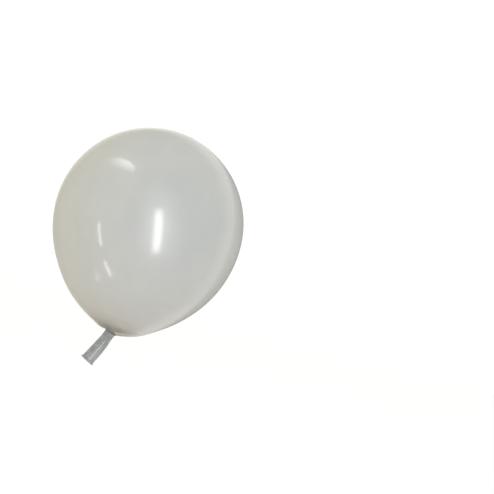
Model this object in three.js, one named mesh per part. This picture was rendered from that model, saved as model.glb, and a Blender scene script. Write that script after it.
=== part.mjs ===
// A round latex balloon of the 5 inch size, blown up and held shut by its pinched neck.
//
// Millimetres. The origin is the middle of the pinch, where the neck is held. +Z runs along the
// body's axis to the crown, +X is to the right and -Y is towards the front. The real thing is one
// dipped skin. Here it is cut where its form and its latex change: crown spot, envelope, shoulder,
// gather, neck sleeve and mouth bead.
//
// The body is turned from a profile. The shoulder and the neck, which aren't round, are surfaces
// through rings, and a ring is a list of points that runs round the neck's line.

import * as THREE from "three";

// Driving dimensions of the body
const BODY_DIAMETER = 127; // the nominal 5 inches
const EQUATOR_HEIGHT = 79.2; // of the widest circle, above the pinch
const CROWN_HEIGHT = 144; // of the top, above the pinch
const BODY_OFFSET = 9.3; // of the body's axis from the pinch, as the neck is drawn aside
const FLANK_RADIUS = 76.4; // of the profile from the equator down
const FLANK_DEPTH = 54.3; // how far below the equator the flank ends
const CHIN_RADIUS = 102.8; // of the flatter profile below the flank
const CHIN_FOOT_HEIGHT = 7.6; // where the envelope ends and the shoulder takes over
const ENVELOPE_WALL = 0.7;

// Of the thick spot that the dipping leaves at the crown
const CROWN_SPOT_RADIUS = 7;
const CROWN_SPOT_THICKNESS = 1.4;
const CROWN_SPOT_RISE = 0.4; // of its middle, above the round of the body

// Of the neck
const NECK_LEAN = THREE.MathUtils.degToRad(23); // to the left of straight down, at the pinch
const PINCH_HALF_WIDTH = 3.6;
const PINCH_HALF_DEPTH = 1.3;
const PINCH_TOP = 2; // of the gather, measured along the neck from the pinch
const PINCH_BOTTOM = -3.5;
const NECK_WALL = 0.5;
const MOUTH_CENTRE = new THREE.Vector3(-9.1, -3, -18.5);
const MOUTH_HALF_WIDTH = 4.4;
const MOUTH_HALF_DEPTH = 2.9;
const BEAD_DIAMETER = 1.2; // of the rolled lip

const SEAM_GAP = 0.3; // between neighbouring pieces

// How finely forms are cut
const RING_POINTS = 48;
const NECK_RING_POINTS = 32;
const DOME_RINGS = 12;
const FLANK_RINGS = 6;
const CHIN_RINGS = 4;
const SPOT_RINGS = 4;
const PINCH_EDGE_POINTS = 7;
const BEAD_SECTION_POINTS = 8;

const BODY_RADIUS = BODY_DIAMETER / 2;
const DOME_HEIGHT = CROWN_HEIGHT - EQUATOR_HEIGHT;

// Rows of the shoulder, from the chin down to the gather. Columns: x and z of the ring's left edge
// and of its right edge, and half its depth along Y.
const SHOULDER_ROWS = [
  { left: [-6.6, 6.7], right: [23.2, 5.95], halfDepth: 14.8 },
  { left: [-5.2, 5.9], right: [19.4, 4.55], halfDepth: 12.0 },
  { left: [-4.1, 5.25], right: [15.4, 3.3], halfDepth: 9.2 },
  { left: [-3.3, 4.75], right: [11.6, 2.4], halfDepth: 6.5 },
  { left: [-2.8, 4.35], right: [8.0, 1.75], halfDepth: 4.3 },
  { left: [-2.55, 3.95], right: [5.4, 1.2], halfDepth: 2.9 },
  { left: [-2.55, 3.55], right: [4.5, 0.7], halfDepth: 2.2 },
];

// Rows of the gather. Columns: height along the neck, and how much the ring is wider and deeper
// there than the pinch.
const GATHER_ROWS = [
  { height: PINCH_TOP, flare: 0.2 },
  { height: PINCH_TOP - 0.8, flare: 0 },
  { height: PINCH_BOTTOM + 0.8, flare: 0 },
  { height: PINCH_BOTTOM, flare: 0.2 },
];

// Rows of the neck sleeve. Columns: share of the way from the gather to the mouth, half width and
// half depth of its outside.
const SLEEVE_ROWS = [
  { share: 0, halfWidth: 3.9, halfDepth: 1.6 },
  { share: 0.18, halfWidth: 4.0, halfDepth: 2.0 },
  { share: 0.4, halfWidth: 4.2, halfDepth: 2.5 },
  { share: 0.65, halfWidth: 4.35, halfDepth: 2.8 },
  { share: 1, halfWidth: MOUTH_HALF_WIDTH, halfDepth: MOUTH_HALF_DEPTH },
];

const latex = {
  stretched: { color: 0xc9c9c3, roughness: 0.22, metalness: 0 },
  shoulder: { color: 0xa9a7a0, roughness: 0.3, metalness: 0 },
  neck: { color: 0x85878a, roughness: 0.42, metalness: 0 },
};

const X_AXIS = new THREE.Vector3(1, 0, 0);
const Y_AXIS = new THREE.Vector3(0, 1, 0);

// A flat outline, whose points are (width, depth), set at centre in the plane of across and
// through.
function placedRing(outline, centre, across, through) {
  return outline.map(({ x: width, y: depth }) =>
    centre.clone().addScaledVector(across, width).addScaledVector(through, depth),
  );
}

function oval(halfWidth, halfDepth, count) {
  const outline = new THREE.EllipseCurve(0, 0, halfWidth, halfDepth);
  return outline.getPoints(count).slice(0, count);
}

// A closed surface through rings of equal count. With loop, the last ring joins the first.
// Otherwise both ends are capped from their middles.
function surfaceThrough(rings, loop) {
  const count = rings[0].length;
  const points = rings.flat();
  const faces = [];
  const bands = loop ? rings.length : rings.length - 1;
  for (let band = 0; band < bands; band++) {
    const next = (band + 1) % rings.length;
    for (let i = 0; i < count; i++) {
      const j = (i + 1) % count;
      const corners = [band * count + i, next * count + i, next * count + j, band * count + j];
      faces.push(corners[0], corners[1], corners[2], corners[0], corners[2], corners[3]);
    }
  }
  if (!loop) {
    const last = (rings.length - 1) * count;
    const top = points.push(middleOf(rings[0])) - 1;
    const bottom = points.push(middleOf(rings.at(-1))) - 1;
    for (let i = 0; i < count; i++) {
      const j = (i + 1) % count;
      faces.push(top, i, j, bottom, last + j, last + i);
    }
  }
  const geometry = new THREE.BufferGeometry().setFromPoints(points);
  geometry.setIndex(faces);
  geometry.computeVertexNormals();
  return geometry;
}

function middleOf(ring) {
  const sum = ring.reduce((total, point) => total.add(point), new THREE.Vector3());
  return sum.divideScalar(ring.length);
}

// The rings moved into the material by depth, along the normals of the surface through them.
function insetRings(rings, depth) {
  const count = rings[0].length;
  return rings.map((ring, row) =>
    ring.map((point, i) => {
      const above = rings[Math.max(row - 1, 0)][i];
      const below = rings[Math.min(row + 1, rings.length - 1)][i];
      const down = new THREE.Vector3().subVectors(below, above);
      const round = new THREE.Vector3().subVectors(ring[(i + 1) % count], ring.at(i - 1));
      const outward = down.cross(round).normalize();
      return point.clone().addScaledVector(outward, -depth);
    }),
  );
}

// A skin of even thickness whose outside runs through the rings, open at both ends.
function skin(rings, wall) {
  return surfaceThrough([...rings, ...insetRings(rings, wall).reverse()], true);
}

// The body's profile as points (radius, height) from the crown spot's edge to the shoulder: a
// dome, a flank and a chin, each an arc that runs on from the one before. It is moved inwards
// by inset.
function bodyProfile(inset = 0) {
  const domeStart = Math.acos((CROWN_SPOT_RADIUS + SEAM_GAP) / (BODY_RADIUS - inset));
  const dome = new THREE.Path().absellipse(
    0, EQUATOR_HEIGHT, BODY_RADIUS - inset, DOME_HEIGHT - inset, domeStart, 0, true,
  );
  const flankEnd = Math.asin(FLANK_DEPTH / FLANK_RADIUS);
  const flankCentre = BODY_RADIUS - FLANK_RADIUS;
  const flank = new THREE.Path().absarc(
    flankCentre, EQUATOR_HEIGHT, FLANK_RADIUS - inset, 0, -flankEnd, true,
  );
  const setBack = CHIN_RADIUS - FLANK_RADIUS;
  const chinCentre = new THREE.Vector2(
    flankCentre - setBack * Math.cos(flankEnd), EQUATOR_HEIGHT + setBack * Math.sin(flankEnd),
  );
  const chinEnd = Math.asin((CHIN_FOOT_HEIGHT - chinCentre.y) / CHIN_RADIUS);
  const chin = new THREE.Path().absarc(
    chinCentre.x, chinCentre.y, CHIN_RADIUS - inset, -flankEnd, chinEnd, true,
  );
  return [
    ...dome.getSpacedPoints(DOME_RINGS),
    ...flank.getSpacedPoints(FLANK_RINGS).slice(1),
    ...chin.getSpacedPoints(CHIN_RINGS).slice(1),
  ];
}

// A profile (radius, height) turned about the body's axis.
function turned(profile) {
  const geometry = new THREE.LatheGeometry(profile, RING_POINTS);
  geometry.rotateX(Math.PI / 2);
  geometry.translate(BODY_OFFSET, 0, 0);
  return geometry;
}

function envelope() {
  const inside = bodyProfile(ENVELOPE_WALL);
  const outside = bodyProfile().reverse();
  return turned([...inside, ...outside, inside[0]]);
}

// The thick spot at the crown, a lens that fills the opening at the top of the envelope.
function crownSpot() {
  const edge = Math.acos(CROWN_SPOT_RADIUS / BODY_RADIUS);
  const outside = [];
  const inside = [];
  for (let i = 0; i <= SPOT_RINGS; i++) {
    const share = i / SPOT_RINGS;
    const angle = THREE.MathUtils.lerp(Math.PI / 2, edge, share);
    const radius = i === 0 ? 0 : BODY_RADIUS * Math.cos(angle);
    const top = EQUATOR_HEIGHT + DOME_HEIGHT * Math.sin(angle);
    const rise = CROWN_SPOT_RISE * (1 - share * share);
    const wall = THREE.MathUtils.lerp(CROWN_SPOT_THICKNESS, ENVELOPE_WALL, share * share);
    outside.push(new THREE.Vector2(radius, top + rise));
    inside.push(new THREE.Vector2(radius, top + rise - wall));
  }
  return turned([...inside, ...outside.reverse()]);
}

function shoulderRing({ left, right, halfDepth }) {
  const leftEdge = new THREE.Vector3(left[0], 0, left[1]);
  const rightEdge = new THREE.Vector3(right[0], 0, right[1]);
  const across = new THREE.Vector3().subVectors(rightEdge, leftEdge);
  const outline = oval(across.length() / 2, halfDepth, RING_POINTS);
  const centre = leftEdge.add(rightEdge).divideScalar(2);
  return placedRing(outline, centre, across.normalize(), Y_AXIS);
}

// The shoulder starts with a circle of the body, a gap below the envelope and in line with it.
function shoulder() {
  const [above, foot] = bodyProfile().slice(-2);
  const start = new THREE.Vector2().subVectors(foot, above).setLength(SEAM_GAP).add(foot);
  const circle = oval(start.x, start.x, RING_POINTS);
  const centre = new THREE.Vector3(BODY_OFFSET, 0, start.y);
  const top = placedRing(circle, centre, X_AXIS, Y_AXIS);
  return skin([top, ...SHOULDER_ROWS.map(shoulderRing)], ENVELOPE_WALL);
}

const neckUp = new THREE.Vector3(Math.sin(NECK_LEAN), 0, Math.cos(NECK_LEAN));

// The outline of the pinched neck: two flats, and round edges between them.
function pinchedOutline(flare) {
  const halfDepth = PINCH_HALF_DEPTH + flare;
  const flatHalfWidth = PINCH_HALF_WIDTH - PINCH_HALF_DEPTH;
  const rightEdge = new THREE.EllipseCurve(
    flatHalfWidth, 0, halfDepth, halfDepth, -Math.PI / 2, Math.PI / 2,
  );
  const leftEdge = new THREE.EllipseCurve(
    -flatHalfWidth, 0, halfDepth, halfDepth, Math.PI / 2, 1.5 * Math.PI,
  );
  return [...rightEdge.getPoints(PINCH_EDGE_POINTS), ...leftEdge.getPoints(PINCH_EDGE_POINTS)];
}

function gather() {
  const across = new THREE.Vector3().crossVectors(Y_AXIS, neckUp);
  const rings = GATHER_ROWS.map(({ height, flare }) => {
    const centre = neckUp.clone().multiplyScalar(height);
    return placedRing(pinchedOutline(flare), centre, across, Y_AXIS);
  });
  return surfaceThrough(rings, false);
}

// The neck's line below the pinch. It runs on in line with the gather and bends to the mouth.
const neckStart = neckUp.clone().multiplyScalar(PINCH_BOTTOM - SEAM_GAP);
const neckLine = new THREE.QuadraticBezierCurve3(
  neckStart,
  neckStart.clone().addScaledVector(neckUp, -neckStart.distanceTo(MOUTH_CENTRE) / 3),
  MOUTH_CENTRE,
);

// The directions of a ring where the neck's line has gone a share of its way.
function neckFrame(share) {
  const along = neckLine.getTangentAt(share);
  const across = new THREE.Vector3().crossVectors(along, Y_AXIS).normalize();
  const through = new THREE.Vector3().crossVectors(across, along);
  return { along, across, through };
}

function neckRing({ share, halfWidth, halfDepth }) {
  const { across, through } = neckFrame(share);
  const outline = oval(halfWidth, halfDepth, NECK_RING_POINTS);
  return placedRing(outline, neckLine.getPointAt(share), across, through);
}

function neckSleeve() {
  return skin(SLEEVE_ROWS.map(neckRing), NECK_WALL);
}

// The rolled lip: a round section carried round the mouth, its inside level with the sleeve's.
function mouthBead() {
  const radius = BEAD_DIAMETER / 2;
  const { along, across, through } = neckFrame(1);
  const centre = MOUTH_CENTRE.clone().addScaledVector(along, radius + SEAM_GAP);
  const outwards = radius - NECK_WALL;
  const outline = oval(
    MOUTH_HALF_WIDTH + outwards, MOUTH_HALF_DEPTH + outwards, NECK_RING_POINTS,
  );
  const line = placedRing(outline, centre, across, through);
  const sections = line.map((point, i) => {
    const forward = new THREE.Vector3().subVectors(line[(i + 1) % line.length], line.at(i - 1));
    const outward = new THREE.Vector3().crossVectors(along, forward).normalize();
    return placedRing(oval(radius, radius, BEAD_SECTION_POINTS), point, along, outward);
  });
  return surfaceThrough(sections, true);
}

function piece(name, geometry, finish) {
  const mesh = new THREE.Mesh(geometry, new THREE.MeshStandardMaterial(finish));
  mesh.name = name;
  return mesh;
}

const balloon = new THREE.Group();
balloon.add(
  piece("crown_spot", crownSpot(), latex.shoulder),
  piece("envelope", envelope(), latex.stretched),
  piece("shoulder", shoulder(), latex.shoulder),
  piece("neck_gather", gather(), latex.neck),
  piece("neck_sleeve", neckSleeve(), latex.neck),
  piece("mouth_bead", mouthBead(), latex.neck),
);

export default balloon;
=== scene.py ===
"""The looks of a round latex balloon, blown up and held shut by its pinched neck.

Metres. The origin is the pinch, +Z runs up the body's axis to the crown, +X is to the right and
the front faces -Y.
"""

import logging
import math
from collections.abc import Callable, Iterable
from dataclasses import dataclass, field
from enum import Enum

import bmesh
import bpy
from mathutils import Matrix, Vector


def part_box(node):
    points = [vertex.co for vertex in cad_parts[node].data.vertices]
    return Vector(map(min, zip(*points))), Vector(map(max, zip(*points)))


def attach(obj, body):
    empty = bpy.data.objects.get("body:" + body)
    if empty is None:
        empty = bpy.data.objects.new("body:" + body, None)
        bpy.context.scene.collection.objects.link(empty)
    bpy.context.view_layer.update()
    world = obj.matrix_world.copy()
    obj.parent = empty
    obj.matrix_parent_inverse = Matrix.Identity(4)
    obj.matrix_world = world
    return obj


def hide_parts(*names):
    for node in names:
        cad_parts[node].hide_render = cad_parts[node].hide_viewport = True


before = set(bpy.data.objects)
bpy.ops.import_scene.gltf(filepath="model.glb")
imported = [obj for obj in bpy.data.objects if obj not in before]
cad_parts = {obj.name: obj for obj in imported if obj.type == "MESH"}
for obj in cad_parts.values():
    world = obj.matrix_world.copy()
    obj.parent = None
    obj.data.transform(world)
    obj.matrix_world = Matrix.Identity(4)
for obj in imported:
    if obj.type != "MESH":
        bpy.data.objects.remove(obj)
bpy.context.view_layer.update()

log = logging.getLogger("balloon")

Socket = bpy.types.NodeSocket
MM = 0.001
# The point of the body's axis that the camera and the lamps are placed by.
BODY_MIDDLE = Vector((9.3, 0, 75.75)) * MM
# Edges sharper than this stay sharp where a skin is cut off.
RIM_ANGLE = math.radians(60)
# Points this near to the dome's edge or to the body's axis count as on it.
DOME_SLACK = 0.1 * MM
# Points this near to a ring's plane, and up to this many times as far out, count as on the ring.
RING_SLACK = 0.05 * MM
RING_MARGIN = 1.2
LATEX_IOR = 1.5
NECK_SLOT = "latex_neck"


# Shaping in edit mode


def turn_selected(angle: float, axis: str, centre: Vector) -> None:
    """Turns what is selected in edit mode by the right-hand rule.

    Args:
        angle: The turn in radians.
        axis: "X", "Y" or "Z".
        centre: The point that stays where it is.
    """
    if angle:
        # With no window the operator turns the other way.
        bpy.ops.transform.rotate(value=-angle, orient_axis=axis, center_override=centre)


def select_points(mesh_object: bpy.types.Object, test: Callable[[Vector], bool]) -> None:
    """Selects, in edit mode, the vertices whose place passes a test, and nothing else.

    Args:
        mesh_object: The object that is being edited.
        test: Tells whether a point is wanted.
    """
    bpy.ops.mesh.select_mode(type="VERT")
    bpy.ops.mesh.select_all(action="DESELECT")
    mesh = bmesh.from_edit_mesh(mesh_object.data)
    for vert in mesh.verts:
        if test(vert.co):
            vert.select = True
    mesh.select_flush_mode()
    bmesh.update_edit_mesh(mesh_object.data)


def select_only(mesh_object: bpy.types.Object) -> None:
    """Makes an object the only selected and the active one."""
    bpy.ops.object.select_all(action="DESELECT")
    mesh_object.select_set(True)
    bpy.context.view_layer.objects.active = mesh_object


def edit_only(mesh_object: bpy.types.Object) -> None:
    """Makes an object the only selected one and opens it in edit mode."""
    select_only(mesh_object)
    bpy.ops.object.mode_set(mode="EDIT")


def apply_modifier(mesh_object: bpy.types.Object, modifier: bpy.types.Modifier) -> None:
    """Applies a modifier to an object in object mode."""
    select_only(mesh_object)
    bpy.ops.object.modifier_apply(modifier=modifier.name)


# Finishes


@dataclass(frozen=True)
class Tone:
    """A colour as a screen shows it, each part from 0 to 255."""

    red: float
    green: float
    blue: float

    @property
    def linear(self) -> tuple[float, float, float, float]:
        """The colour as shaders take it."""
        red, green, blue = (
            part / 12.92 if part <= 0.04045 else ((part + 0.055) / 1.055) ** 2.4
            for part in (self.red / 255, self.green / 255, self.blue / 255)
        )
        return red, green, blue, 1.0


@dataclass(frozen=True)
class Patches:
    """A number that changes softly from place to place, from low to high.

    Size is a patch's width in metres, detail the number of finer layers, and stretch how much
    longer the patches are each way. The number is low where the noise is at starts or less, and
    high where it is at full or more.
    """

    size: float
    low: float
    high: float
    detail: float = 2.0
    stretch: tuple[float, float, float] = (1, 1, 1)
    starts: float = 0.3
    full: float = 0.7


@dataclass(frozen=True)
class Relief:
    """A soft uneven relief: how wide and deep its swellings are, how fine and how stretched."""

    size: float
    depth: float
    detail: float = 2.0
    stretch: tuple[float, float, float] = (1, 1, 1)


class Nodes:
    """A node tree, with short ways to add to it."""

    # A Mix node's sockets for colours. Its other ones are for numbers and vectors.
    FIRST_COLOUR = 6
    SECOND_COLOUR = 7
    MIXED_COLOUR = 2

    def __init__(self, tree: bpy.types.NodeTree, coordinates: str = "Object") -> None:
        """Starts with the place that is being shaded, or its direction in the surround."""
        self.tree = tree
        self.place = tree.nodes.new("ShaderNodeTexCoord").outputs[coordinates]

    def feed(self, socket: Socket, value: object) -> None:
        """Joins a socket to another's output, or sets it to a value."""
        if isinstance(value, Socket):
            self.tree.links.new(value, socket)
        else:
            socket.default_value = value

    def math(self, operation: str, first: object, second: object) -> Socket:
        """The result of one step of arithmetic with two numbers."""
        node = self.tree.nodes.new("ShaderNodeMath")
        node.operation = operation
        self.feed(node.inputs[0], first)
        self.feed(node.inputs[1], second)
        return node.outputs[0]

    def vector_math(self, operation: str, first: object, second: Vector) -> bpy.types.Node:
        """A node that works on two vectors."""
        node = self.tree.nodes.new("ShaderNodeVectorMath")
        node.operation = operation
        self.feed(node.inputs[0], first)
        node.inputs[1].default_value = second
        return node

    def distance(self, point: Vector) -> Socket:
        """How far the place is from a point."""
        return self.vector_math("DISTANCE", self.place, point).outputs["Value"]

    def distance_in_front_view(self, point: Vector) -> Socket:
        """How far the place is from a point of the plane that faces the front."""
        flat = self.vector_math("MULTIPLY", self.place, Vector((1, 0, 1))).outputs["Vector"]
        return self.vector_math("DISTANCE", flat, point).outputs["Value"]

    def along(self, direction: Vector) -> Socket:
        """How far the place is along a direction from the origin."""
        return self.vector_math("DOT_PRODUCT", self.place, direction).outputs["Value"]

    def spread(
        self, value: object, start: float, end: float, low: object = 0.0, high: object = 1.0
    ) -> Socket:
        """Maps a number from start..end to low..high, with soft ends."""
        node = self.tree.nodes.new("ShaderNodeMapRange")
        node.interpolation_type = "SMOOTHSTEP"
        self.feed(node.inputs["Value"], value)
        node.inputs["From Min"].default_value = start
        node.inputs["From Max"].default_value = end
        self.feed(node.inputs["To Min"], low)
        self.feed(node.inputs["To Max"], high)
        return node.outputs["Result"]

    def mix(self, blend: str, first: object, second: object, amount: object) -> Socket:
        """A colour blended with a second one, as far as amount says."""
        node = self.tree.nodes.new("ShaderNodeMix")
        node.data_type = "RGBA"
        node.blend_type = blend
        self.feed(node.inputs["Factor"], amount)
        self.feed(node.inputs[self.FIRST_COLOUR], first)
        self.feed(node.inputs[self.SECOND_COLOUR], second)
        return node.outputs[self.MIXED_COLOUR]

    def tint(self, colour: object, by: object, amount: object = 1.0) -> Socket:
        """A colour multiplied by another or by a grey, as far as amount says."""
        return self.mix("MULTIPLY", colour, by, amount)


class Graph(Nodes):
    """The node tree of one material."""

    def __init__(self, name: str) -> None:
        """Starts a material with its shader and the place on the surface."""
        self.material = bpy.data.materials.new(name)
        self.material.use_nodes = True
        super().__init__(self.material.node_tree)
        self.shader = self.tree.nodes["Principled BSDF"]
        self.output = self.tree.nodes["Material Output"]

    def set(self, socket_name: str, value: object) -> None:
        """Feeds or sets one of the shader's sockets."""
        self.feed(self.shader.inputs[socket_name], value)

    def noise(self, form: Patches | Relief) -> Socket:
        """Soft noise from 0 to 1, as wide, fine and stretched as a form says."""
        scale = [1 / (form.size * longer) for longer in form.stretch]
        mapping = self.tree.nodes.new("ShaderNodeMapping")
        mapping.inputs["Scale"].default_value = scale
        self.feed(mapping.inputs["Vector"], self.place)
        node = self.tree.nodes.new("ShaderNodeTexNoise")
        self.feed(node.inputs["Vector"], mapping.outputs["Vector"])
        node.inputs["Scale"].default_value = 1.0
        node.inputs["Detail"].default_value = form.detail
        return node.outputs["Fac"]

    def patches(self, form: Patches) -> Socket:
        """A number that changes softly from place to place."""
        return self.spread(self.noise(form), form.starts, form.full, form.low, form.high)

    def ramp(self, value: object, stops: tuple[tuple[float, Tone], ...]) -> Socket:
        """A colour that runs through tones as a number passes their stops."""
        last_stop = stops[-1][0]
        node = self.tree.nodes.new("ShaderNodeValToRGB")
        self.feed(node.inputs["Fac"], self.math("DIVIDE", value, last_stop))
        elements = node.color_ramp.elements
        while len(elements) < len(stops):
            elements.new(1.0)
        for element, (at, tone) in zip(elements, stops):
            element.position = at / last_stop
            element.color = tone.linear
        return node.outputs["Color"]

    def bump(self, relief: Relief, below: object = None) -> Socket:
        """A normal that shows a relief, laid on the normal of a coarser one if there is one."""
        node = self.tree.nodes.new("ShaderNodeBump")
        node.inputs["Strength"].default_value = 1.0
        node.inputs["Distance"].default_value = relief.depth
        self.feed(node.inputs["Height"], self.noise(relief))
        if below is not None:
            self.feed(node.inputs["Normal"], below)
        return node.outputs["Normal"]

    def let_light_through(self, colour: Socket, share: float) -> None:
        """Lets a share of the light through, as thin latex does."""
        through = self.tree.nodes.new("ShaderNodeBsdfTranslucent")
        self.feed(through.inputs["Color"], colour)
        mix = self.tree.nodes.new("ShaderNodeMixShader")
        mix.inputs["Fac"].default_value = share
        self.feed(mix.inputs[1], self.shader.outputs["BSDF"])
        self.feed(mix.inputs[2], through.outputs["BSDF"])
        self.feed(self.output.inputs["Surface"], mix.outputs["Shader"])


@dataclass(frozen=True)
class PaintedLightTint:
    """Faint painted light inside or outside a circle, as seen from the front: painted shade, or
    painted warm or cool light.

    It starts at one distance from the centre and is full at the other.
    """

    tone: Tone
    centre: Vector
    starts: float
    full: float

    def colour(self, graph: Graph, colour: Socket) -> Socket:
        """A colour with the painted light laid on it."""
        away = graph.distance_in_front_view(self.centre)
        return graph.tint(colour, self.tone.linear, graph.spread(away, self.starts, self.full))


@dataclass(frozen=True)
class FilmFinish:
    """Stretched latex: a thin glossy film, denser towards the pinch and the crown and duller
    towards the pinch.

    Its colour also holds painted light: the darkening near the pinch is partly painted shade of the
    holding fingers and a painted warm reflection, the lower body is painted a little lighter as
    painted light from below, and faint tints across the body are painted shade and painted warm and
    cool light.
    """

    name: str
    crown: Vector
    # Distance from the pinch, and the tone there: denser latex near the pinch with painted shade of
    # the fingers and a painted warm reflection in it, and a little painted light from below on the
    # lower body.
    tones: tuple[tuple[float, Tone], ...] = (
        (4 * MM, Tone(108, 106, 101)),
        (8 * MM, Tone(109, 105, 99)),
        (14 * MM, Tone(120, 114, 106)),
        (20 * MM, Tone(150, 143, 135)),
        (26 * MM, Tone(185, 180, 174)),
        (38 * MM, Tone(198, 197, 192)),
        (56 * MM, Tone(203, 203, 199)),
        (105 * MM, Tone(203, 204, 199)),
        (128 * MM, Tone(201, 202, 197)),
    )
    # Painted light across the body: painted shade and painted warm light on the left, and painted
    # cool light in the middle and on the right.
    painted_shade_left: PaintedLightTint = PaintedLightTint(Tone(251, 251, 251), Vector((27, 0, 85)) * MM, 36 * MM, 58 * MM)
    painted_warm_light_left: PaintedLightTint = PaintedLightTint(Tone(255, 254, 251), Vector((27, 0, 85)) * MM, 44 * MM, 74 * MM)
    painted_cool_light_middle: PaintedLightTint = PaintedLightTint(Tone(253, 254, 255), Vector((16, 0, 96)) * MM, 58 * MM, 30 * MM)
    painted_cool_light_right: PaintedLightTint = PaintedLightTint(Tone(251, 252, 255), Vector((30, 0, 84)) * MM, 37 * MM, 16 * MM)
    # How far the tones round the pinch, denser latex with painted shade in it, stray to and fro.
    waver: Patches = Patches(6 * MM, -1.2 * MM, 1.2 * MM)
    crown_tone: float = 0.95
    # How far from the crown its tone starts to fade, and where it is gone.
    crown_fade: tuple[float, float] = (2.5 * MM, 9 * MM)
    # Where the dip ran thicker or thinner.
    clouds: Patches = Patches(21 * MM, 0.985, 1.012, detail=3)
    runs: Patches = Patches(9 * MM, 0.99, 1.008, stretch=(1, 1, 7))
    roughness: float = 0.32
    dull_roughness: float = 0.42
    # How far from the pinch the film starts to get smoother, and where it is smooth.
    dull_fade: tuple[float, float] = (6 * MM, 16 * MM)
    specular: float = 0.45
    sheen: float = 0.15
    sheen_roughness: float = 0.4
    sheen_tone: Tone = Tone(255, 251, 236)
    coat: float = 0.8
    coat_roughness: float = 0.07
    coat_ior: float = 1.52
    waves: Relief = Relief(17 * MM, 0.028 * MM, detail=1)
    peel: Relief = Relief(1.1 * MM, 0.0012 * MM)
    see_through: float = 0.15

    def make(self) -> bpy.types.Material:
        """The material."""
        graph = Graph(self.name)
        away = graph.math("ADD", graph.distance(Vector()), graph.patches(self.waver))
        # Near the pinch the tones are denser latex with painted shade and a painted warm reflection
        # in them.
        colour = graph.ramp(away, self.tones)
        # Lays the painted shade and the painted warm and cool light on the colour.
        for tint in (self.painted_shade_left, self.painted_warm_light_left, self.painted_cool_light_middle, self.painted_cool_light_right):
            colour = tint.colour(graph, colour)
        at_crown = graph.spread(graph.distance(self.crown), *self.crown_fade, self.crown_tone, 1)
        for grey in (at_crown, graph.patches(self.clouds), graph.patches(self.runs)):
            colour = graph.tint(colour, grey)
        graph.set("Base Color", colour)
        roughness = graph.spread(away, *self.dull_fade, self.dull_roughness, self.roughness)
        graph.set("Roughness", roughness)
        graph.set("IOR", LATEX_IOR)
        graph.set("Specular IOR Level", self.specular)
        graph.set("Sheen Weight", self.sheen)
        graph.set("Sheen Roughness", self.sheen_roughness)
        graph.set("Sheen Tint", self.sheen_tone.linear)
        graph.set("Coat Weight", self.coat)
        graph.set("Coat Roughness", self.coat_roughness)
        graph.set("Coat IOR", self.coat_ior)
        waves = graph.bump(self.waves)
        graph.set("Normal", graph.bump(self.peel, waves))
        graph.set("Coat Normal", waves)
        graph.let_light_through(colour, self.see_through)
        return graph.material


@dataclass(frozen=True)
class NeckFinish:
    """Unstretched latex: dense and satin, with fine creases along and across it."""

    name: str
    tone: Tone = Tone(141, 144, 143)
    dusty: Tone = Tone(164, 168, 168)
    dust: Patches = Patches(1.6 * MM, 0.0, 1.0, detail=4, starts=0.35)
    blotches: Patches = Patches(5 * MM, 0.94, 1.03)
    clean_roughness: float = 0.37
    dusty_roughness: float = 0.48
    coat: float = 0.3
    coat_roughness: float = 0.2
    lengthwise: Relief = Relief(0.9 * MM, 0.065 * MM, stretch=(1, 1, 9))
    crosswise: Relief = Relief(0.8 * MM, 0.039 * MM, stretch=(6, 6, 1))
    grain: Relief = Relief(0.25 * MM, 0.004 * MM)

    def make(self) -> bpy.types.Material:
        """The material."""
        graph = Graph(self.name)
        dust = graph.patches(self.dust)
        colour = graph.mix("MIX", self.tone.linear, self.dusty.linear, dust)
        graph.set("Base Color", graph.tint(colour, graph.patches(self.blotches)))
        roughness = graph.spread(dust, 0, 1, self.clean_roughness, self.dusty_roughness)
        graph.set("Roughness", roughness)
        graph.set("IOR", LATEX_IOR)
        graph.set("Coat Weight", self.coat)
        graph.set("Coat Roughness", self.coat_roughness)
        creases = graph.bump(self.crosswise, graph.bump(self.lengthwise))
        graph.set("Normal", graph.bump(self.grain, creases))
        return graph.material


@dataclass(frozen=True)
class FloorFinish:
    """Smooth pale paper."""

    name: str
    # A little cool, to look white in the slightly warm light.
    tone: Tone = Tone(253, 253, 255)
    roughness: float = 0.85
    specular: float = 0.2
    shades: Patches = Patches(3 * MM, 0.99, 1.0, detail=4)
    fibres: Relief = Relief(3 * MM, 0.03 * MM, detail=4)

    def make(self) -> bpy.types.Material:
        """The material."""
        graph = Graph(self.name)
        graph.set("Roughness", self.roughness)
        graph.set("Specular IOR Level", self.specular)
        graph.set("Base Color", graph.tint(self.tone.linear, graph.patches(self.shades)))
        graph.set("Normal", graph.bump(self.fibres))
        return graph.material


# The dipped skin


class Zone(Enum):
    """The stretches of the dipped skin, from the crown down, each a piece of its own."""

    CROWN = ("crown_spot_skin", "crown_spot", "latex_shoulder")
    ENVELOPE = ("envelope_skin", "envelope", "latex_stretched")
    SHOULDER = ("shoulder_skin", "shoulder", "latex_shoulder")
    GATHER = ("neck_gather_folds", "neck_gather", NECK_SLOT)
    SLEEVE = ("neck_sleeve_skin", "neck_sleeve", NECK_SLOT)

    def __init__(self, piece: str, node: str, slot: str) -> None:
        """Takes the piece's name, the CAD node that it stands for and the record's slot."""
        self.piece = piece
        self.node = node
        self.slot = slot


@dataclass(frozen=True)
class Ring:
    """An oval ring of the skin, level unless it is turned.

    Lean turns it about Y, so that the neck below it heads left, and pitch about X, so that the
    neck heads back for a positive value and to the front for a negative one. Fold is how deep its
    folds are pressed in.
    """

    centre: Vector
    half_width: float
    half_depth: float
    zone: Zone
    lean: float = 0.0
    pitch: float = 0.0
    fold: float = 0.0

    @property
    def axes(self) -> Matrix:
        """Columns: the ring's width, its depth and the way up through it."""
        return Matrix.Rotation(self.lean, 3, "Y") @ Matrix.Rotation(self.pitch, 3, "X")

    def place_of(self, point: Vector) -> Vector:
        """Where a point is from the ring's centre: across, through and up."""
        return self.axes.transposed() @ (point - self.centre)


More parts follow.
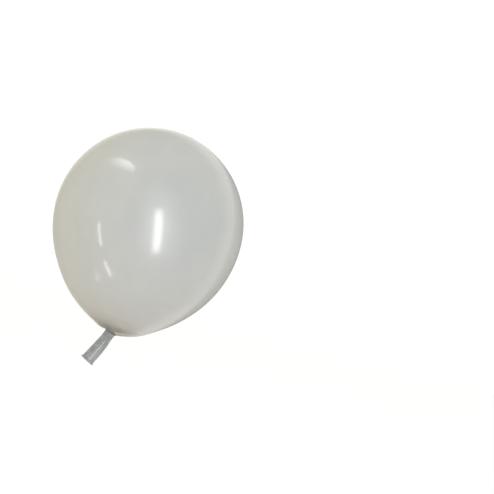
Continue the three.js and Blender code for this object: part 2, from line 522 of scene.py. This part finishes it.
@dataclass
class BodyOutline:
    """The round body's outline: two arcs that run on into each other below its widest circle."""

    axis_x: float
    radius: float
    foot: float
    equator: float = 79.2 * MM
    crown: float = 144 * MM
    flank_radius: float = 76.4 * MM
    flank_depth: float = 54.3 * MM
    chin_radius: float = 102.8 * MM
    # How much further out the left side is just above the neck, and where that starts.
    fullness: float = 2.9 * MM
    full_below: float = 44 * MM
    flank_rings: int = 12
    chin_rings: int = 7

    def rings(self) -> list[Ring]:
        """The body's rings, from below the widest circle to the envelope's foot."""
        flank_end = math.asin(self.flank_depth / self.flank_radius)
        flank_x = self.radius - self.flank_radius
        set_back = self.chin_radius - self.flank_radius
        chin_x = flank_x - set_back * math.cos(flank_end)
        chin_z = self.equator + set_back * math.sin(flank_end)
        chin_end = math.asin((chin_z - self.foot) / self.chin_radius)
        flank = self._arc(
            flank_x, self.equator, self.flank_radius, 0.0, flank_end, self.flank_rings
        )
        chin = self._arc(chin_x, chin_z, self.chin_radius, flank_end, chin_end, self.chin_rings)
        return flank + chin

    def _arc(
        self, x: float, z: float, radius: float, start: float, end: float, count: int
    ) -> list[Ring]:
        """Rings at even steps along an arc round (x, z), from after its start to its end."""
        turns = [start + (end - start) * (i + 1) / count for i in range(count)]
        return [
            self._ring(x + radius * math.cos(turn), z - radius * math.sin(turn)) for turn in turns
        ]

    def _ring(self, radius: float, height: float) -> Ring:
        """A level ring of the body: a circle, but a little wider to the left near the foot."""
        share = min(max((self.full_below - height) / (self.full_below - self.foot), 0.0), 1.0)
        wider = self.fullness * share**2 * (3 - 2 * share) / 2
        centre = Vector((self.axis_x - wider, 0, height))
        return Ring(centre, radius + wider, radius, Zone.ENVELOPE)


@dataclass
class NeckLine:
    """The line that the neck follows, from the pinch to its mouth."""

    lean: float = math.radians(23)
    bottom: float = -3.8 * MM
    mouth: Vector = field(default_factory=lambda: Vector((-9.1, -3, -18.5)) * MM)

    @property
    def up(self) -> Vector:
        """The direction of the pinched neck, towards the body."""
        return Vector((math.sin(self.lean), 0, math.cos(self.lean)))

    def place(self, share: float) -> tuple[Vector, float, float]:
        """Where the line has gone a share of its way below the gather.

        Args:
            share: 0 at the gather's lower end and 1 at the mouth.

        Returns:
            The point, and the lean and pitch of the ring there.
        """
        start = self.up * self.bottom
        third = (start - self.mouth).length / 3
        handle = start - self.up * third
        point = (
            start * (1 - share) ** 2 + handle * 2 * share * (1 - share) + self.mouth * share**2
        )
        way = ((handle - start) * (1 - share) + (self.mouth - handle) * share).normalized()
        return point, math.atan2(-way.x, -way.z), math.asin(way.y)


@dataclass
class DippedSkin:
    """The balloon's one dipped skin, from the crown to the edge of the mouth."""

    outline: BodyOutline
    neck: NeckLine
    columns: int = 96
    sphere_rings: int = 56
    crown_rise: float = 0.35 * MM
    # How much of the crown's rise the ring of points round it gets.
    ring_share: float = 0.6
    pinch_half_width: float = 3.6 * MM
    pinch_half_depth: float = 1.3 * MM
    # How many times as deep the gather is before it is pressed flat.
    unpressed: float = 1.5
    mouth_half_width: float = 4.4 * MM
    mouth_half_depth: float = 2.9 * MM
    wall: float = 0.4 * MM
    smoothing: int = 1
    # Where the folds run round the neck, in degrees from its right side.
    folds_at: tuple[float, ...] = (14, 47, 79, 104, 141, 168, 203, 231, 262, 300, 334)
    fold_reach: float = 7.0

    def build(self) -> dict[Zone, bpy.types.Object]:
        """Models the skin and parts it into its zones.

        Returns:
            The piece of each zone.
        """
        skin = self._dome()
        rings = self._rings()
        self._sweep(skin, rings)
        self._flatten_pinch(skin, rings)
        self._press_folds(skin, rings)
        parts = self._part(skin, rings)
        self._close_ends(parts[Zone.GATHER])
        self._thicken(parts[Zone.SLEEVE])
        return parts

    def mouth(self) -> Ring:
        """The ring at the edge of the mouth."""
        return self._neck_ring(1.0, self.mouth_half_width, self.mouth_half_depth, 0.0)

    def _neck_ring(self, share: float, half_width: float, half_depth: float, fold: float) -> Ring:
        """A ring of the open neck, after a share of the way from the gather to the mouth."""
        point, lean, pitch = self.neck.place(share)
        return Ring(point, half_width, half_depth, Zone.SLEEVE, lean, pitch, fold)

    def _dome(self) -> bpy.types.Object:
        """The upper half, from a sphere, with its open edge selected in edit mode."""
        outline = self.outline
        centre = Vector((outline.axis_x, 0, outline.equator))
        bpy.ops.object.select_all(action="DESELECT")
        bpy.ops.mesh.primitive_uv_sphere_add(
            segments=self.columns,
            ring_count=self.sphere_rings,
            radius=outline.radius,
            location=centre,
        )
        skin = bpy.context.object
        bpy.ops.object.transform_apply(location=True)
        edit_only(skin)
        select_points(skin, lambda point: point.z < centre.z - DOME_SLACK)
        bpy.ops.mesh.delete(type="VERT")
        bpy.ops.mesh.select_all(action="SELECT")
        stretch = (outline.crown - outline.equator) / outline.radius
        bpy.ops.transform.resize(value=(1, 1, stretch), center_override=centre)
        first_ring = outline.radius * math.sin(math.pi / self.sphere_rings)
        self._raise_crown(skin, DOME_SLACK, self.crown_rise)
        self._raise_crown(skin, first_ring * RING_MARGIN, self.crown_rise * self.ring_share)
        select_points(skin, lambda point: point.z < centre.z + DOME_SLACK)
        return skin

    def _raise_crown(self, skin: bpy.types.Object, reach: float, rise: float) -> None:
        """Lifts the crown's points within reach of the body's axis, if not lifted before."""
        axis_x = self.outline.axis_x
        top = self.outline.crown
        select_points(
            skin,
            lambda point: math.hypot(point.x - axis_x, point.y) < reach and point.z <= top,
        )
        bpy.ops.transform.translate(value=(0, 0, rise))

    def _rings(self) -> list[Ring]:
        """All rings below the widest circle, in order."""
        return [*self.outline.rings(), *self._shoulder(), *self._gather(), *self._sleeve()]

    def _shoulder(self) -> list[Ring]:
        """The rings of the funnel from the body to the pinch."""
        # Left edge x and z, right edge x and z, half depth and fold depth, in millimetres.
        rows = (
            (-9.5, 6.3, 23.2, 5.4, 14.8, 0.06),
            (-7.8, 5.4, 19.4, 3.85, 12.0, 0.16),
            (-6.0, 4.8, 15.4, 2.6, 9.2, 0.28),
            (-4.3, 4.45, 11.6, 1.8, 6.5, 0.42),
            (-2.8, 4.25, 8.0, 1.4, 4.3, 0.52),
            (-2.55, 3.95, 5.4, 1.2, 2.9, 0.55),
            (-2.55, 3.5, 4.5, 0.65, 2.2, 0.55),
        )
        made = []
        for left_x, left_z, right_x, right_z, half_depth, fold in rows:
            left = Vector((left_x, 0, left_z)) * MM
            right = Vector((right_x, 0, right_z)) * MM
            made.append(
                Ring(
                    (left + right) / 2, (right - left).length / 2, half_depth * MM, Zone.SHOULDER,
                    lean=math.atan2(left.z - right.z, right.x - left.x), fold=fold * MM,
                )
            )
        return made

    def _gather(self) -> list[Ring]:
        """The rings of the pinched neck. Its depth is flattened afterwards."""
        # Height along the neck, how much wider than the pinch, and fold depth, in millimetres.
        rows = (
            (1.9, 0.15, 0.5),
            (1.2, 0.0, 0.42),
            (0.0, 0.0, 0.38),
            (-1.4, 0.0, 0.38),
            (-2.7, 0.0, 0.42),
            (-3.6, 0.15, 0.5),
        )
        return [
            Ring(
                self.neck.up * height * MM,
                self.pinch_half_width + wider * MM,
                self.unpressed * self.pinch_half_depth + wider * MM,
                Zone.GATHER,
                lean=self.neck.lean,
                fold=fold * MM,
            )
            for height, wider, fold in rows
        ]

    def _sleeve(self) -> list[Ring]:
        """The rings of the open neck, down to the edge of the mouth."""
        # Share of the way to the mouth, then half width, half depth and fold depth, in
        # millimetres.
        rows = (
            (0.06, 3.85, 1.75, 0.5),
            (0.15, 3.95, 1.95, 0.42),
            (0.25, 4.05, 2.15, 0.34),
            (0.36, 4.15, 2.4, 0.26),
            (0.47, 4.22, 2.55, 0.18),
            (0.58, 4.3, 2.7, 0.12),
            (0.69, 4.34, 2.8, 0.08),
            (0.8, 4.37, 2.85, 0.05),
            (0.91, 4.4, 2.9, 0.03),
        )
        made = [
            self._neck_ring(share, half_width * MM, half_depth * MM, fold * MM)
            for share, half_width, half_depth, fold in rows
        ]
        return [*made, self.mouth()]

    def _sweep(self, skin: bpy.types.Object, rings: Iterable[Ring]) -> None:
        """Extrudes the open edge from ring to ring.

        Args:
            skin: The dome, in edit mode with its open edge selected.
            rings: The rings to pass, from the top down.
        """
        outline = self.outline
        start = Vector((outline.axis_x, 0, outline.equator))
        last = Ring(start, outline.radius, outline.radius, Zone.ENVELOPE)
        for ring in rings:
            bpy.ops.mesh.extrude_edges_move()
            turn_selected(-last.lean, "Y", last.centre)
            turn_selected(-last.pitch, "X", last.centre)
            bpy.ops.transform.resize(
                value=(
                    ring.half_width / last.half_width,
                    ring.half_depth / last.half_depth,
                    1,
                ),
                center_override=last.centre,
            )
            turn_selected(ring.pitch, "X", last.centre)
            turn_selected(ring.lean, "Y", last.centre)
            bpy.ops.transform.translate(value=ring.centre - last.centre)
            last = ring

    @staticmethod
    def _select_ring(
        skin: bpy.types.Object, ring: Ring, test: Callable[[float, float], bool]
    ) -> None:
        """Selects those points of a ring that pass a test.

        Args:
            skin: The skin, in edit mode.
            ring: The ring.
            test: Tells whether a point is wanted, from its place across and through the ring.
        """
        widest = RING_MARGIN * max(ring.half_width, ring.half_depth)

        def on_ring(point: Vector) -> bool:
            """Whether a point is on the ring and passes the test."""
            place = ring.place_of(point)
            near = abs(place.z) < RING_SLACK and place.xy.length < widest
            return near and test(place.x, place.y)

        select_points(skin, on_ring)

    def _flatten_pinch(self, skin: bpy.types.Object, rings: Iterable[Ring]) -> None:
        """Presses the front and back of the gather flat."""
        for ring in rings:
            if ring.zone is not Zone.GATHER:
                continue
            wider = ring.half_width - self.pinch_half_width
            limit = self.pinch_half_depth + wider
            for side in (-1, 1):
                self._select_ring(skin, ring, lambda _, depth: side * depth > limit)
                bpy.ops.transform.resize(
                    value=(1, 0, 1), center_override=ring.centre + Vector((0, side * limit, 0))
                )

    def _press_folds(self, skin: bpy.types.Object, rings: Iterable[Ring]) -> None:
        """Presses the folds in along the skin's normals, in two steps for a round bottom."""
        for ring in rings:
            if not ring.fold:
                continue

            def from_fold(width: float, depth: float) -> float:
                """The angle from a point of the ring to its nearest fold, in degrees."""
                angle = math.degrees(
                    math.atan2(depth / ring.half_depth, width / ring.half_width)
                )
                return min(abs((angle - at + 180) % 360 - 180) for at in self.folds_at)

            for reach in (self.fold_reach, self.fold_reach / 2):
                self._select_ring(
                    skin, ring, lambda width, depth: from_fold(width, depth) < reach
                )
                bpy.ops.transform.shrink_fatten(value=-ring.fold / 2)

    def _part(
        self, skin: bpy.types.Object, rings: list[Ring]
    ) -> dict[Zone, bpy.types.Object]:
        """Smooths the whole skin, then parts it into its zones.

        Args:
            skin: The skin, in edit mode.
            rings: Its rings below the widest circle.

        Returns:
            The piece of each zone.
        """
        for zone in Zone:
            skin.data.materials.append(bpy.data.materials.new(zone.piece))
        spot_edge = self.outline.radius * math.sin(2 * math.pi / self.sphere_rings)
        borders = {
            zone: next(ring for ring in reversed(rings) if ring.zone is zone)
            for zone in (Zone.ENVELOPE, Zone.SHOULDER, Zone.GATHER)
        }
        mesh = bmesh.from_edit_mesh(skin.data)
        for face in mesh.faces:
            zone = self._zone_of(face.calc_center_median(), spot_edge, borders)
            face.material_index = list(Zone).index(zone)
        bmesh.update_edit_mesh(skin.data)
        bpy.ops.mesh.select_all(action="SELECT")
        bpy.ops.mesh.normals_make_consistent(inside=False)
        bpy.ops.object.mode_set(mode="OBJECT")
        smooth = skin.modifiers.new("smooth", "SUBSURF")
        smooth.levels = smooth.render_levels = self.smoothing
        apply_modifier(skin, smooth)
        bpy.ops.object.shade_smooth()
        edit_only(skin)
        bpy.ops.mesh.separate(type="MATERIAL")
        bpy.ops.object.mode_set(mode="OBJECT")
        parts = {}
        for part in bpy.context.selected_objects:
            zone = next(zone for zone in Zone if part.data.materials[0].name == zone.piece)
            part.name = part.data.name = zone.piece
            parts[zone] = part
        return {zone: parts[zone] for zone in Zone}

    def _zone_of(self, point: Vector, spot_edge: float, borders: dict[Zone, Ring]) -> Zone:
        """The zone that a point of the skin is in."""
        if point.z > self.outline.equator:
            out = math.hypot(point.x - self.outline.axis_x, point.y)
            return Zone.CROWN if out < spot_edge else Zone.ENVELOPE
        for zone, border in borders.items():
            if border.place_of(point).z > 0:
                return zone
        return Zone.SLEEVE

    @staticmethod
    def _close_ends(gather: bpy.types.Object) -> None:
        """Closes the bundle of folds at both ends."""
        edit_only(gather)
        bpy.ops.mesh.select_all(action="DESELECT")
        bpy.ops.mesh.select_mode(type="EDGE")
        bpy.ops.mesh.select_non_manifold(extend=False, use_multi_face=False)
        bpy.ops.mesh.edge_face_add()
        bpy.ops.object.mode_set(mode="OBJECT")
        bpy.ops.object.shade_smooth_by_angle(angle=RIM_ANGLE)

    def _thicken(self, sleeve: bpy.types.Object) -> None:
        """Gives the open neck its wall, inwards."""
        wall = sleeve.modifiers.new("wall", "SOLIDIFY")
        wall.thickness = self.wall
        wall.offset = -1
        apply_modifier(sleeve, wall)
        bpy.ops.object.shade_smooth_by_angle(angle=RIM_ANGLE)


@dataclass
class RolledLip:
    """The lip that is rolled up round the neck's mouth."""

    mouth: Ring
    name: str = "mouth_bead_roll"
    node: str = "mouth_bead"
    slot: str = NECK_SLOT
    radius: float = 0.6 * MM
    out: float = 0.1 * MM
    overlap: float = 0.2 * MM
    groove: float = 0.14 * MM
    # The groove starts at this share of the mouth's half width, ends this share of the roll's
    # radius past its middle, and lies above this share of that radius.
    groove_start: float = 0.98
    groove_end: float = 0.45
    groove_above: float = 0.6
    unevenness: float = 0.08 * MM
    lump_size: float = 1.6 * MM
    steps_per_quarter: int = 24
    bevel_resolution: int = 6

    def build(self) -> bpy.types.Object:
        """Models the lip.

        Returns:
            Its piece.
        """
        lip = self._oval_roll()
        self._press_groove(lip)
        self._place(lip)
        self._make_uneven(lip)
        select_only(lip)
        bpy.ops.object.shade_smooth()
        return lip

    def _oval_roll(self) -> bpy.types.Object:
        """A level roll round the mouth's oval, in edit mode."""
        bpy.ops.object.select_all(action="DESELECT")
        bpy.ops.curve.primitive_bezier_circle_add(radius=1.0)
        roll = bpy.context.object
        bpy.ops.object.mode_set(mode="EDIT")
        bpy.ops.curve.select_all(action="SELECT")
        size = (self.mouth.half_width + self.out, self.mouth.half_depth + self.out, 1)
        bpy.ops.transform.resize(value=size, center_override=Vector())
        bpy.ops.object.mode_set(mode="OBJECT")
        roll.data.resolution_u = self.steps_per_quarter
        roll.data.bevel_depth = self.radius
        roll.data.bevel_resolution = self.bevel_resolution
        select_only(roll)
        bpy.ops.object.convert(target="MESH")
        roll = bpy.context.object
        roll.name = roll.data.name = self.name
        edit_only(roll)
        bpy.ops.mesh.select_all(action="SELECT")
        bpy.ops.mesh.normals_make_consistent(inside=False)
        return roll

    def _press_groove(self, lip: bpy.types.Object) -> None:
        """Presses in the line where the roll ends against the neck."""
        inner = self.mouth.half_width * self.groove_start
        outer = self.mouth.half_width + self.out + self.groove_end * self.radius
        squash = self.mouth.half_width / self.mouth.half_depth

        def in_groove(point: Vector) -> bool:
            """Whether a point is on top of the roll, along the neck's outside."""
            out = math.hypot(point.x, point.y * squash)
            return point.z > self.groove_above * self.radius and inner < out < outer

        select_points(lip, in_groove)
        bpy.ops.transform.shrink_fatten(value=-self.groove)

    def _place(self, lip: bpy.types.Object) -> None:
        """Turns the lip and moves it onto the mouth."""
        bpy.ops.mesh.select_all(action="SELECT")
        turn_selected(self.mouth.pitch, "X", Vector())
        turn_selected(self.mouth.lean, "Y", Vector())
        below = self.mouth.axes @ Vector((0, 0, self.overlap - self.radius))
        bpy.ops.transform.translate(value=self.mouth.centre + below)
        bpy.ops.object.mode_set(mode="OBJECT")

    def _make_uneven(self, lip: bpy.types.Object) -> None:
        """Makes the roll a little thicker and thinner round the mouth."""
        lumps = bpy.data.textures.new("lip_lumps", "CLOUDS")
        lumps.noise_scale = self.lump_size
        uneven = lip.modifiers.new("uneven", "DISPLACE")
        uneven.texture = lumps
        uneven.strength = self.unevenness
        apply_modifier(lip, uneven)


# The studio


class LampUse(Enum):
    """What a lamp is seen in: only in gloss, or only in the light on the film and the floor."""

    GLOSS = "gloss"
    SHADE = "shade"


@dataclass(frozen=True)
class Lamp:
    """A long lamp that faces the balloon.

    Top and bottom are the directions of its ends from the balloon: right, up and towards the
    camera. Radiance is how bright its face is, where the white surround is about 1.
    """

    name: str
    top: tuple[float, float, float]
    bottom: tuple[float, float, float]
    width: float
    radiance: float
    use: LampUse = LampUse.GLOSS
    # How far the brightness takes to build up from the left and right edge, and from the bottom
    # and top end, in metres.
    fade_sides: tuple[float, float] = (0.0, 0.0)
    fade_ends: tuple[float, float] = (0.0, 0.0)
    tone: Tone = Tone(255, 255, 255)
    is_round: bool = False
    distance: float = 0.9


LAMPS = (
    Lamp(
        "front_strip", (0.283, 0.308, 0.9), (0.216, -0.545, 0.805), width=0.23, radiance=11.5,
        fade_sides=(0.115, 0.115), fade_ends=(0.18, 0.16),
    ),
    Lamp(
        "front_glow", (0.22, 0.76, 0.62), (0.2, -0.76, 0.62), width=0.75, radiance=1.15,
        fade_sides=(0.37, 0.37), fade_ends=(0.5, 0.42),
    ),
    Lamp(
        "left_strip_upper", (-0.785, 0.1, 0.617), (-0.728, -0.317, 0.607), width=0.09, radiance=8.2,
        fade_sides=(0.045, 0.045), fade_ends=(0.05, 0.1),
    ),
    Lamp(
        "left_strip_lower", (-0.64, -0.478, 0.57), (-0.52, -0.715, 0.475), width=0.05, radiance=7.5,
        fade_sides=(0.025, 0.025), fade_ends=(0.02, 0.02), distance=0.42,
    ),
    Lamp(
        "left_glow", (-0.725, -0.57, 0.385), (-0.695, -0.69, 0.17), width=0.07, radiance=2.2,
        fade_sides=(0.035, 0.035), fade_ends=(0.05, 0.05), distance=0.42,
    ),
    Lamp(
        "overhead_round", (-0.6, 0.788, -0.07), (-0.2, 0.862, 0.487), width=0.19, radiance=5.85,
        fade_sides=(0.16, 0.01), fade_ends=(0.03, 0.44), is_round=True,
    ),
    Lamp("back_strip", (-0.12, 0.2, -0.97), (-0.12, -0.2, -0.97), width=0.08, radiance=12.0),
    Lamp(
        "top_shade", (0.1, 0.99, 0.1), (0.1, 0.5, 0.86), width=0.9, radiance=0.25,
        use=LampUse.SHADE,
    ),
    Lamp(
        "corner_shade", (-0.3, 0.9, -0.3), (-0.9, 0.4, -0.3), width=0.6, radiance=0.4,
        use=LampUse.SHADE,
    ),
    Lamp(
        "left_warmth", (-0.9, 0.1, 0.4), (-0.8, -0.5, 0.3), width=0.6, radiance=0.4,
        use=LampUse.SHADE, tone=Tone(255, 244, 214),
    ),
)


@dataclass(frozen=True)
class Surround:
    """The even white light from all sides, and what gloss mirrors of it.

    Gloss mirrors it dimly, but behind on the right it mirrors a dark round card on a bright
    one, and behind at the upper left a small pale one. Behind on the left the light is a little
    warm. Directions are right, up and towards the camera, and angles are from them to where an
    edge starts and ends.
    """

    brightness: float = 1.06
    mirrored: float = 0.56
    card_middle: tuple[float, float, float] = (0.397, -0.145, -0.906)
    dark_card: float = 0.32
    dark_edge: tuple[float, float] = (math.radians(32), math.radians(23))
    bright_card: float = 1.0
    bright_edge: tuple[float, float] = (math.radians(54), math.radians(42))
    pale_middle: tuple[float, float, float] = (-0.28, 0.335, -0.9)
    # How much brighter the pale card is than what lies round it.
    pale_card: float = 0.35
    pale_edge: tuple[float, float] = (math.radians(21), math.radians(4))
    warm_middle: tuple[float, float, float] = (-0.93, -0.1, -0.35)
    warm_tone: Tone = Tone(250, 245, 226)
    warm_edge: tuple[float, float] = (math.radians(100), math.radians(30))

    def make(self, towards: Callable[[tuple[float, float, float]], Vector]) -> bpy.types.World:
        """The world.

        Args:
            towards: Turns how far a direction goes right, up and towards the camera into it.

        Returns:
            The world.
        """
        world = bpy.data.worlds.new("white_surround")
        world.use_nodes = True
        nodes = Nodes(world.node_tree, "Generated")
        ray = world.node_tree.nodes.new("ShaderNodeLightPath")
        background = world.node_tree.nodes["Background"]
        card = nodes.along(towards(self.card_middle))
        pale = nodes.along(towards(self.pale_middle))
        warm = nodes.along(towards(self.warm_middle))
        darkening = self.bright_card - self.dark_card
        mirrored = self._within(nodes, card, self.bright_edge, self.mirrored, self.bright_card)
        darker = self._within(nodes, card, self.dark_edge, 0.0, darkening)
        mirrored = nodes.math("SUBTRACT", mirrored, darker)
        paler = self._within(nodes, pale, self.pale_edge, 0.0, self.pale_card)
        mirrored = nodes.math("ADD", mirrored, paler)
        strength = nodes.spread(ray.outputs["Is Glossy Ray"], 0, 1, self.brightness, mirrored)
        nodes.feed(background.inputs["Strength"], strength)
        warm = self._within(nodes, warm, self.warm_edge, 0.0, 1.0)
        warm = nodes.spread(ray.outputs["Is Camera Ray"], 0, 1, warm, 0.0)
        white = (1, 1, 1, 1)
        nodes.feed(background.inputs["Color"], nodes.tint(white, self.warm_tone.linear, warm))
        return world

    @staticmethod
    def _within(
        nodes: Nodes, nearness: Socket, edge: tuple[float, float], outside: float, inside: float
    ) -> Socket:
        """One number outside a soft circle and another inside it.

        Nearness is the cosine of the angle from the circle's middle.
        """
        starts, ends = (math.cos(angle) for angle in edge)
        return nodes.spread(nearness, starts, ends, outside, inside)


@dataclass
class Studio:
    """The floor, the surround, the lamps and the camera."""

    subject: Vector
    floor_finish: FloorFinish
    lamps: tuple[Lamp, ...] = LAMPS
    surround: Surround = Surround()
    roll: float = math.radians(13.7)
    distance: float = 0.6
    nearest_seen: float = 0.01
    sensor_mm: float = 36.0
    focal_px: float = 891.0
    image_px: float = 494.0
    # Where the subject point is in the picture, from its upper left corner.
    subject_px: tuple[float, float] = (148.1, 229.3)
    floor_height: float = -0.35
    floor_half: float = 4.0

    @property
    def right(self) -> Vector:
        """The direction that points right in the picture."""
        return Vector((math.cos(self.roll), 0, math.sin(self.roll)))

    @property
    def up(self) -> Vector:
        """The direction that points up in the picture."""
        return Vector((-math.sin(self.roll), 0, math.cos(self.roll)))

    @property
    def back(self) -> Vector:
        """The direction from the balloon to the camera."""
        return Vector((0, -1, 0))

    def build(self) -> None:
        """Sets up the floor, the surround, the lamps and the camera."""
        self._floor()
        bpy.context.scene.world = self.surround.make(self._towards)
        for lamp in self.lamps:
            self._hang(lamp)
        self._camera()

    def _towards(self, sides: tuple[float, float, float]) -> Vector:
        """A direction from how far it goes right, up and towards the camera."""
        right, up, near = sides
        return (self.right * right + self.up * up + self.back * near).normalized()

    def _floor(self) -> None:
        """A wide pale floor, far below."""
        bpy.ops.object.select_all(action="DESELECT")
        bpy.ops.mesh.primitive_plane_add(
            size=2 * self.floor_half, location=(0, 0, self.floor_height)
        )
        floor = bpy.context.object
        floor.name = "floor"
        floor.visible_glossy = False
        floor.data.materials.append(self.floor_finish.make())

    def _hang(self, lamp: Lamp) -> None:
        """Hangs a lamp between the directions of its two ends."""
        top, bottom = (self._towards(end) * lamp.distance for end in (lamp.top, lamp.bottom))
        middle = (top + bottom) / 2
        upright = (top - bottom).normalized()
        across = upright.cross(middle).normalized()
        bpy.ops.object.light_add(type="AREA")
        light = bpy.context.object
        light.name = lamp.name
        light.matrix_world = self._facing(
            self.subject + middle, across, upright, across.cross(upright)
        )
        light.data.shape = "ELLIPSE" if lamp.is_round else "RECTANGLE"
        light.data.size = lamp.width
        light.data.size_y = (top - bottom).length
        # An ellipse fills a quarter of pi of the rectangle round it.
        face = light.data.size * light.data.size_y * (math.pi / 4 if lamp.is_round else 1)
        light.data.energy = lamp.radiance * math.pi * face
        light.data.color = lamp.tone.linear[:3]
        light.visible_camera = False
        light.visible_diffuse = lamp.use is LampUse.SHADE
        light.visible_glossy = lamp.use is LampUse.GLOSS
        if any(lamp.fade_sides + lamp.fade_ends):
            self._soften(light.data, lamp)

    @staticmethod
    def _soften(light: bpy.types.AreaLight, lamp: Lamp) -> None:
        """Fades a lamp's face towards its edges."""
        light.use_nodes = True
        nodes = Nodes(light.node_tree)
        brightness = 1.0
        edges = (
            (Vector((1, 0, 0)), light.size, lamp.fade_sides[0]),
            (Vector((-1, 0, 0)), light.size, lamp.fade_sides[1]),
            (Vector((0, 1, 0)), light.size_y, lamp.fade_ends[0]),
            (Vector((0, -1, 0)), light.size_y, lamp.fade_ends[1]),
        )
        for inwards, size, fade in edges:
            if fade:
                share = nodes.spread(nodes.along(inwards), -size / 2, fade - size / 2)
                brightness = nodes.math("MULTIPLY", brightness, share)
        nodes.feed(light.node_tree.nodes["Emission"].inputs["Strength"], brightness)

    def _camera(self) -> None:
        """A level camera in front, rolled and placed as in the photograph."""
        metres_per_px = self.distance / self.focal_px
        right_of_centre, below_centre = (at - self.image_px / 2 for at in self.subject_px)
        aim = (
            self.subject
            - self.right * right_of_centre * metres_per_px
            + self.up * below_centre * metres_per_px
        )
        bpy.ops.object.camera_add()
        camera = bpy.context.object
        camera.name = "photo_view"
        camera.matrix_world = self._facing(
            aim + self.back * self.distance, self.right, self.up, self.back
        )
        camera.data.sensor_width = self.sensor_mm
        camera.data.lens = self.focal_px * self.sensor_mm / self.image_px
        camera.data.clip_start = self.nearest_seen
        bpy.context.scene.camera = camera

    @staticmethod
    def _facing(place: Vector, across: Vector, upright: Vector, back: Vector) -> Matrix:
        """The matrix of an object that looks the other way from back."""
        turn = Matrix((across, upright, back)).transposed()
        return Matrix.Translation(place) @ turn.to_4x4()


def dress(piece: bpy.types.Object, material: bpy.types.Material) -> None:
    """Gives a piece one material all over."""
    piece.data.materials.clear()
    piece.data.materials.append(material)


def declare(piece: bpy.types.Object, node: str) -> None:
    """Puts a piece in the place of its CAD node, and reports it."""
    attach(piece, "root")
    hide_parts(node)
    log.info("%s: %d faces", piece.name, len(piece.data.polygons))


def main() -> None:
    """Builds the balloon and its studio."""
    logging.basicConfig(level=logging.INFO, format="%(name)s: %(message)s")
    bpy.context.scene.view_settings.view_transform = "Standard"
    low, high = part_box("envelope")
    outline = BodyOutline(
        axis_x=(low[0] + high[0]) / 2,
        radius=(high[0] - low[0]) / 2,
        foot=low[2],
    )
    skin = DippedSkin(outline, NeckLine())
    film = FilmFinish("stretched_latex", Vector((outline.axis_x, 0, outline.crown))).make()
    neck = NeckFinish("neck_latex").make()
    for zone, piece in skin.build().items():
        dress(piece, neck if zone.slot == NECK_SLOT else film)
        declare(piece, zone.node)
    lip = RolledLip(skin.mouth())
    piece = lip.build()
    dress(piece, neck)
    declare(piece, lip.node)
    Studio(BODY_MIDDLE, FloorFinish("pale_paper")).build()


if __name__ == "__main__":
    main()
